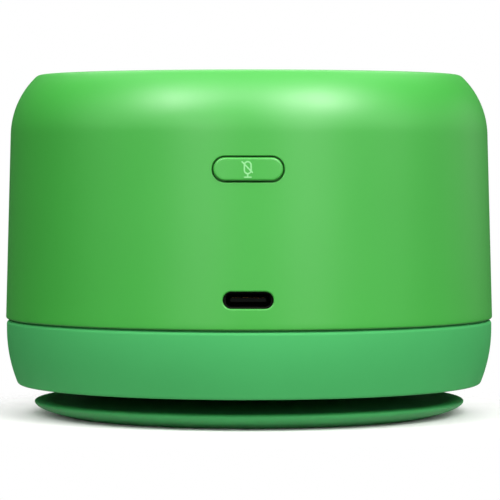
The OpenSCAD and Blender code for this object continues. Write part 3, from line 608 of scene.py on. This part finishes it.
def suction_disc():
    """Dome, flat sealing land and upturned lip below; above, a trough behind the lip and a neck."""
    flange_r, flange_lo, flange_hi = STEM_FLANGE
    dome_steps, lip_steps = 24, 28
    profile = [(0, flange_lo)]
    for i in range(dome_steps + 1):
        t = i / dome_steps
        profile.append((LAND_R[0] * t, DOME_H * (1 - t ** 2)))
    for i in range(lip_steps, -1, -1):
        a = math.radians(90 * i / lip_steps)
        r = LAND_R[1] + (CUP_R - LAND_R[1]) * math.cos(a) ** LIP_POWER
        profile.append((r, LIP_TIP_Z * (1 - math.sin(a))))
    tip = (CUP_R, LIP_TIP_Z)
    crest = (CUP_R - 1.3, LIP_H)
    trough = (36.4, 2.45)
    neck = (11, CUP_TOP)
    profile += curve([tip, (CUP_R, LIP_H - 0.2), (CUP_R - 0.6, LIP_H), crest], 12)[1:]
    profile += curve([crest, (39.4, LIP_H), (38.8, 2.3), trough], 16)[1:]
    profile += curve([trough, (28, 3.1), (22, 5.3), neck], 20)[1:]
    profile += [(STEM_R, CUP_TOP), (STEM_R, flange_hi), (flange_r, flange_hi), (flange_r, flange_lo)]
    bm = bmesh.new()
    lathe(bm, profile, COLUMNS)
    piece("suction_disc", bm, "cup", "cup_silicone", ["suction_cup"])


# ---- Mute button and its icon ----

MUTE_FACE = (MUTE_OPEN[0] - 2 * MUTE_GAP, MUTE_OPEN[1] - 2 * MUTE_GAP)


def mute_key():
    """The button: a face that follows the wall, a rounded edge, a flange behind the wall and a stem."""
    w, h = MUTE_FACE
    rc = h / 2
    fillet = 0.4
    steps = 8
    flange_y = MUTE_FLOOR_Y + 0.2
    flange_back_y = flange_y + 0.8
    flange = (15.4, 6.9, 1.4)
    stem = (2, 2, 0.999)
    stem_y = box_mm("mute_button")[1].y
    half_w, half_h = 8.0, 3.6
    around = [Vector((half_w * c, half_h * s)) for c, s in square_walk(28, 12)]
    loops = []
    bm = bmesh.new()

    def face_loop(radius, depth):
        loops.append([vert(bm, *on_wall(outline(b, w, h, rc, radius - rc), MUTE_Z, -MUTE_PROUD, depth))
                      for b in around])

    def flat_loop(shape, y):
        points = [outline(b, *shape) for b in around]
        loops.append([vert(bm, q.x, y, MUTE_Z + q.y) for q in points])

    for k in range(steps + 1):
        face_loop((rc - fillet) * k / steps, 0.0)
    for k in range(1, steps + 1):
        a = math.radians(90 * k / steps)
        face_loop(rc - fillet + fillet * math.sin(a), fillet * (1 - math.cos(a)))
    flat_loop((w, h, rc), flange_y)
    flat_loop(flange, flange_y)
    flat_loop(flange, flange_back_y)
    flat_loop(stem, flange_back_y)
    flat_loop(stem, stem_y)
    for a, b in zip(loops, loops[1:]):
        bridge(bm, a, b)
    bm.faces.new(loops[-1])
    piece("mute_key", bm, "mute_button", "shell_plastic", ["mute_button"])


def square_walk(nx, ny):
    """Points round the edge of the square from -1 to 1, nx along each long side and ny along each short."""
    out = [(-1 + 2 * i / nx, -1) for i in range(nx)]
    out += [(1, -1 + 2 * i / ny) for i in range(ny)]
    out += [(1 - 2 * i / nx, 1) for i in range(nx)]
    out += [(-1, 1 - 2 * i / ny) for i in range(ny)]
    return out


def stroke(points, width, closed=False):
    """Outline of a line of that width with round ends, or the two outlines of a closed one."""
    pts = [Vector(p) for p in points]
    n = len(pts)

    def side(i, sign):
        a = pts[(i - 1) % n] if closed or i > 0 else pts[i]
        b = pts[(i + 1) % n] if closed or i < n - 1 else pts[i]
        d = (b - a).normalized()
        return pts[i] + Vector((-d.y, d.x)) * sign * width / 2

    if closed:
        return [side(i, 1) for i in range(n)], [side(i, -1) for i in range(n)]
    left = [side(i, 1) for i in range(n)]
    right = [side(i, -1) for i in range(n - 1, -1, -1)]

    def cap(centre, start):
        spoke = start - centre
        turned = []
        for k in range(1, CAP_STEPS):
            a = -math.pi * k / CAP_STEPS
            c, s = math.cos(a), math.sin(a)
            turned.append(centre + Vector((spoke.x * c - spoke.y * s, spoke.x * s + spoke.y * c)))
        return turned

    return left + cap(pts[-1], left[-1]) + right + cap(pts[0], right[-1]), None


def raise_shape(bm, shape, surface, low, high):
    """A thin closed solid over a flat outline, between two heights above a surface."""
    outer, hole = shape
    if hole is None:
        top = [vert(bm, *surface(p, high)) for p in outer]
        bottom = [vert(bm, *surface(p, low)) for p in outer]
        bridge(bm, bottom, top)
        bm.faces.new(top)
        bm.faces.new(list(reversed(bottom)))
        return
    loops = []
    for ring, h in ((outer, low), (outer, high), (hole, high), (hole, low)):
        loops.append([vert(bm, *surface(p, h)) for p in ring])
    for a, b in zip(loops, loops[1:] + loops[:1]):
        bridge(bm, a, b)


def raise_shapes(bm, shapes, surface, high):
    """Raises each shape a little more than the one before, so that crossing strokes don't share a face."""
    step = 0.004
    for k, shape in enumerate(shapes):
        raise_shape(bm, shape, surface, -ICON_SUNK, high + step * k)


def mute_icon():
    """A microphone crossed out by a slash."""
    line = 0.27

    def surface(p, height):
        return on_wall(p, MUTE_Z, -MUTE_PROUD - height)

    mid, r, top, bottom, foot = -0.09, 0.62, 0.76, -0.2, -1.48
    body = arc(mid, top, r, 0, 180, 12) + arc(mid, bottom, r, 180, 360, 12)
    post = [(mid, bottom - r), (mid, foot + 0.1)]
    base = [(mid - 0.58, foot), (mid + 0.62, foot)]
    slash = [(-1.12, 1.36), (0.76, -0.6)]
    shapes = [stroke(body, line, closed=True)] + [stroke(points, line) for points in (post, base, slash)]
    bm = bmesh.new()
    raise_shapes(bm, shapes, surface, 0.03)
    piece("mute_icon", bm, "mute_button", "key_plastic", material=ICON_INK)


# ---- Front grille, keys and their icons ----

def grille_circles():
    """Middle, radius and point count of the grille's rim, which comes first, and of each opening."""
    polar = [(HOLE_PITCH * k, 60 * i / k, HOLE_R, 32)
             for k in range(1, HOLE_RINGS + 1) for i in range(6 * k)]
    polar += [(KEY_CIRCLE, a, KEY_R + FIT_GAP, 96) for a in (0, 90, 180, 270)]
    polar += [(KEY_CIRCLE, a, MIC_R, 24) for a in MIC_ANGLES]
    polar += [(KEY_CIRCLE, LIGHT_ANGLE, LIGHT_R, 32)]
    circles = [(0, 0, OPEN_R - FIT_GAP, 256), (0, 0, HOLE_R, 32)]
    for away, angle, r, n in polar:
        a = math.radians(angle)
        circles.append((away * math.cos(a), away * math.sin(a), r, n))
    return circles


def speaker_grille():
    """A flat disc with rounded edges at its rim and round each opening."""
    edge = 0.12
    low, high = GRILLE_LO.z, GRILLE_HI.z
    edge_steps = 4
    turns = [math.radians(90 * k / edge_steps) for k in range(edge_steps + 1)]
    levels = [(edge * (1 - math.sin(a)), high - edge * (1 - math.cos(a))) for a in turns]
    levels += [(grow, low + high - z) for grow, z in reversed(levels)]

    bm = bmesh.new()
    top, bottom, owner, edges = [], [], [], []
    for number, (x, y, r, n) in enumerate(grille_circles()):
        outwards = 1 if number else -1
        loops = []
        for grow, z in levels:
            radius = r + outwards * grow
            angles = [2 * math.pi * k / n for k in range(n)]
            loops.append([vert(bm, x + radius * math.cos(a), y + radius * math.sin(a), z) for a in angles])
        for a, b in zip(loops, loops[1:]):
            bridge(bm, a, b)
        first = len(top)
        edges += [(first + k, first + (k + 1) % n) for k in range(n)]
        owner += [number] * n
        top += loops[0]
        bottom += loops[-1]

    points = [Vector((v.co.x / MM, v.co.y / MM)) for v in top]
    for corners in delaunay_2d_cdt(points, edges, [], 0, 1e-6)[2]:
        circles = {owner[i] for i in corners}
        if len(circles) > 1 or circles == {0}:
            bm.faces.new([top[i] for i in corners])
            bm.faces.new([bottom[i] for i in reversed(corners)])
    piece("speaker_grille", bm, "housing", "shell_plastic", ["front_grille"], level_flat=True)


DISH = 0.22
DISH_R = KEY_R - 0.45


def key_top(r, top):
    """Height of a key's dished top at a distance from its middle."""
    return top - DISH * (1 - min(1.0, (r / DISH_R) ** 2))


def key_cap(name):
    """A key with a dished top, a flange below the grille and a plunger. Gives its middle and its top."""
    centre = middle(f"{name}_key")
    lo, hi = box_mm(f"{name}_key")
    plunger_r, flange_r = 1.2, KEY_R + 0.8
    flange_lo, flange_hi = GRILLE_LO.z - 0.94, GRILLE_LO.z - 0.2
    edge = 0.3
    dish_steps = 12
    profile = [(0, lo.z), (plunger_r, lo.z), (plunger_r, flange_lo), (flange_r, flange_lo),
               (flange_r, flange_hi), (KEY_R, flange_hi)]
    profile += arc(KEY_R - edge, hi.z - edge, edge, 0, 90, 8)
    for k in range(dish_steps + 1):
        r = DISH_R * (1 - k / dish_steps)
        profile.append((r, key_top(r, hi.z)))
    bm = bmesh.new()
    lathe(bm, profile, 96, Matrix.Translation((centre.x, centre.y, 0)))
    piece(f"{name}_cap", bm, f"{name}_button", "key_plastic", [f"{name}_key"])
    return centre, hi.z


def solid_polygon(points):
    """A filled shape, for raise_shape."""
    return [Vector(p) for p in points], None


def key_with_icon(name, shapes):
    """A key cap with shapes raised on its dished top."""
    centre, top = key_cap(name)

    def surface(p, height):
        return centre.x + p.x, centre.y + p.y, key_top(p.length, top) + height

    bm = bmesh.new()
    raise_shapes(bm, shapes, surface, 0.04)
    piece(f"{name}_icon", bm, f"{name}_button", "key_plastic", material=ICON_INK)


def ladder(x0, y0, x1, y1, n=8):
    """Points from one end of a line to the other, so that the line can follow a dished key."""
    return [(x0 + (x1 - x0) * i / n, y0 + (y1 - y0) * i / n) for i in range(n + 1)]


def all_keys():
    line = 0.34
    reach = 1.15
    bar_h = 0.85
    level = stroke(ladder(-reach, 0, reach, 0), line)
    upright = stroke(ladder(0, -reach, 0, reach), line)
    power_arc = arc(0, 0, 1.1, 125, 415, 24)
    key_with_icon("play", [
        solid_polygon([(-1.3, -1.0), (0.35, 0), (-1.3, 1.0)]),
        stroke(ladder(0.72, -bar_h, 0.72, bar_h), line),
        stroke(ladder(1.4, -bar_h, 1.4, bar_h), line),
    ])
    key_with_icon("volume_up", [level, upright])
    key_with_icon("volume_down", [level])
    key_with_icon("power", [stroke(power_arc, line), stroke(ladder(0, 0.35, 0, 1.35), line)])


# ---- Surround and spider, built in sectors ----

DRIVER_Z = box_mm("driver_surround")[0].z
SECTORS = 12
SECTOR_STEPS = 6


def stretched_ring(name, node, profile, slot):
    """A ring made in equal sectors of a profile turned about the vertical axis, each a piece on no body,
    with its placing baked into its mesh."""
    half = math.pi / SECTORS
    for s in range(SECTORS):
        bearing = 2 * half * s
        bm = bmesh.new()
        loops = []
        for k in range(SECTOR_STEPS + 1):
            a = bearing + half * (2 * k / SECTOR_STEPS - 1)
            loops.append([vert(bm, r * math.sin(a), -r * math.cos(a), z) for r, z in profile])
        for a, b in zip(loops, loops[1:]):
            bridge(bm, a, b)
        bm.faces.new(loops[0])
        bm.faces.new(list(reversed(loops[-1])))
        sector = piece(f"{name}_{s + 1}", bm, None, slot, [node])
        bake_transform(sector)


def surround():
    """A half roll between a flat edge on the basket and a flat edge on the cone."""
    inner_r, outer_r = 18.7, 22.4
    cone_edge_r, flange_r = 17.8, 24
    thick = 0.4
    roll_r = 1.85
    mid = (inner_r + outer_r) / 2
    top = DRIVER_Z + thick
    profile = [(flange_r, DRIVER_Z), (flange_r, top)]
    profile += arc(mid, DRIVER_Z, roll_r + thick, 10, 170, 16)
    profile += [(cone_edge_r, top), (cone_edge_r, DRIVER_Z)]
    profile += arc(mid, DRIVER_Z, roll_r, 180, 0, 16)
    stretched_ring("surround", "driver_surround", profile, "surround_rubber")


def ripple(z, r0, r1):
    """Four waves between two radii, about a height."""
    waves, swing, steps = 4, 0.35, 32
    turns = [i / steps for i in range(steps + 1)]
    return [(r0 + (r1 - r0) * t, z + swing * math.sin(2 * math.pi * waves * t)) for t in turns]


def corrugated_spider():
    """A rippled cloth disc between a flat rim on the basket and the cone's neck."""
    inner_r, outer_r = 8.4, 16.2
    neck_r, rim_in_r, rim_r = 7.85, 16.6, 19.2
    thick = 0.3
    top = DRIVER_Z - 6.7
    rim_top = DRIVER_Z - 6.9
    rim_low = rim_top - thick
    profile = [(neck_r, top)] + ripple(top, inner_r, outer_r)
    profile += [(rim_in_r, rim_top), (rim_r, rim_top), (rim_r, rim_low), (rim_in_r, rim_low)]
    profile += ripple(top - thick, inner_r, outer_r)[::-1] + [(neck_r, top - thick)]
    stretched_ring("spider_cloth", "spider", profile, "spider_cloth")


# ---- Charging port contacts ----

def usb_contacts():
    """Twelve gold pads on each face of the tongue."""
    lo, hi = box_mm("usb_tongue")
    bm = bmesh.new()
    pads, pitch, half_w = 12, 0.5, 0.13
    thick, sunk = 0.03, 0.01
    near, far = lo.y + 1.4, lo.y + 4.2
    for side, z in ((-1, lo.z), (1, hi.z)):
        levels = sorted((z - side * sunk, z + side * thick))
        for k in range(pads):
            x = (k - (pads - 1) / 2) * pitch
            corners = ((x - half_w, near), (x + half_w, near), (x + half_w, far), (x - half_w, far))
            low, high = [[vert(bm, *corner, level) for corner in corners] for level in levels]
            bm.faces.new(low)
            bm.faces.new(high)
            bridge(bm, low, high)
    piece("usb_contacts", bm, "housing", "copper", material=GOLD)


# ---- Stage: floor, lights and camera ----

def make_floor():
    """A pale floor that fades out beside the object, where the white backdrop takes over."""
    bm = bmesh.new()
    corners = [(-FLOOR_SIZE, -FLOOR_SIZE), (FLOOR_SIZE, -FLOOR_SIZE),
               (FLOOR_SIZE, FLOOR_SIZE), (-FLOOR_SIZE, FLOOR_SIZE)]
    bm.faces.new([vert(bm, x, y, FLOOR_Z) for x, y in corners])
    mesh = bpy.data.meshes.new("floor")
    bm.to_mesh(mesh)
    bm.free()
    floor = bpy.data.objects.new("floor", mesh)
    mat = finish_material(
        "pale_floor", srgb(230, 230, 228), 0.6, tint=0.004, blotch=200, grain=1.5, bump=0.03,
        depth=0.02, Specular_IOR_Level=0.1)
    nodes, links = mat.node_tree.nodes, mat.node_tree.links
    coords = nodes.new("ShaderNodeTexCoord")
    far = nodes.new("ShaderNodeVectorMath")
    far.operation = "LENGTH"
    links.new(coords.outputs["Object"], far.inputs[0])
    fade = nodes.new("ShaderNodeMapRange")
    fade.interpolation_type = "SMOOTHSTEP"
    fade.inputs["From Min"].default_value = FLOOR_FADE[0] * MM
    fade.inputs["From Max"].default_value = FLOOR_FADE[1] * MM
    fade.inputs["To Min"].default_value = 1
    fade.inputs["To Max"].default_value = 0
    links.new(far.outputs["Value"], fade.inputs["Value"])
    links.new(fade.outputs["Result"], nodes["Principled BSDF"].inputs["Alpha"])
    mesh.materials.append(mat)
    SCENE.collection.objects.link(floor)


def softbox(name, place, aim, size, power):
    """A rectangular white light at place, facing aim. Lengths are in millimetres and power in watts."""
    data = bpy.data.lights.new(name, "AREA")
    data.shape = "RECTANGLE"
    data.size, data.size_y = size[0] * MM, size[1] * MM
    data.energy = power
    light = bpy.data.objects.new(name, data)
    light.location = Vector(place) * MM
    light.rotation_euler = (Vector(aim) - Vector(place)).to_track_quat("-Z", "Y").to_euler()
    light.visible_camera = False
    SCENE.collection.objects.link(light)


def sun_light(name, azimuth, elevation, angle, strength):
    """A soft sun from a direction in degrees, where azimuth 0 is the front and positive is to the right."""
    data = bpy.data.lights.new(name, "SUN")
    data.energy = strength
    data.angle = math.radians(angle)
    a, e = math.radians(azimuth), math.radians(elevation)
    towards = Vector((math.sin(a) * math.cos(e), -math.cos(a) * math.cos(e), math.sin(e)))
    light = bpy.data.objects.new(name, data)
    light.rotation_euler = towards.to_track_quat("Z", "Y").to_euler()
    light.visible_camera = False
    SCENE.collection.objects.link(light)


def make_world():
    """A white backdrop for the camera, and a faint cool light for everything else."""
    world = bpy.data.worlds.new("studio")
    SCENE.world = world
    world.use_nodes = True
    nodes, links = world.node_tree.nodes, world.node_tree.links
    nodes.clear()
    seen = nodes.new("ShaderNodeBackground")
    seen.inputs["Color"].default_value = (1, 1, 1, 1)
    seen.inputs["Strength"].default_value = 1.0
    lit = nodes.new("ShaderNodeBackground")
    lit.inputs["Color"].default_value = (0.95, 0.97, 1, 1)
    lit.inputs["Strength"].default_value = WORLD_LIGHT
    path = nodes.new("ShaderNodeLightPath")
    mix = nodes.new("ShaderNodeMixShader")
    out = nodes.new("ShaderNodeOutputWorld")
    links.new(path.outputs["Is Camera Ray"], mix.inputs["Fac"])
    links.new(lit.outputs["Background"], mix.inputs[1])
    links.new(seen.outputs["Background"], mix.inputs[2])
    links.new(mix.outputs["Shader"], out.inputs["Surface"])


def make_camera():
    """A camera with a long lens, far off and a little above the object's middle."""
    data = bpy.data.cameras.new("camera")
    data.sensor_width = 36
    data.lens = CAMERA_LENS
    data.clip_start, data.clip_end = 0.01, 20
    camera = bpy.data.objects.new("camera", data)
    camera.location = CAMERA_AT * MM
    camera.rotation_euler = (CAMERA_AIM - CAMERA_AT).to_track_quat("-Z", "Y").to_euler()
    SCENE.collection.objects.link(camera)
    SCENE.camera = camera


make_camera()
make_world()
make_floor()
BODY = (0, -30, 50)
LOW = (0, 0, 35)
softbox("top_left", (-292, -343, 497), BODY, (230, 230), 2.6)
softbox("top_right", (310, -331, 494), BODY, (230, 230), 2.42)
softbox("top_far_left", (-560, -260, 380), BODY, (600, 500), 0.9)
softbox("top_far_right", (560, -260, 380), BODY, (600, 500), 0.8)
softbox("top_middle", (0, -360, 520), BODY, (420, 140), 0.9)
softbox("top_near", (0, -20, 330), (0, -20, 0), (400, 260), 0.31)
softbox("top_back", (0, 160, 300), (0, 0, 50), (400, 160), 0.53)
softbox("front_left", (-350, -950, 260), LOW, (400, 300), 1.97)
softbox("front_right", (450, -900, 260), LOW, (400, 300), 1.97)
softbox("side_left", (-700, -250, 200), LOW, (200, 300), 0.1)
softbox("side_right", (700, -250, 200), LOW, (200, 300), 0.38)
softbox("rim_right", (520, 260, 140), LOW, (500, 260), 0.24)
sun_light("soft_sun", 30, 40, 25, 1.27)

housing_shell()
ring_grip()
suction_disc()
mute_key()
mute_icon()
speaker_grille()
all_keys()
surround()
corrugated_spider()
usb_contacts()
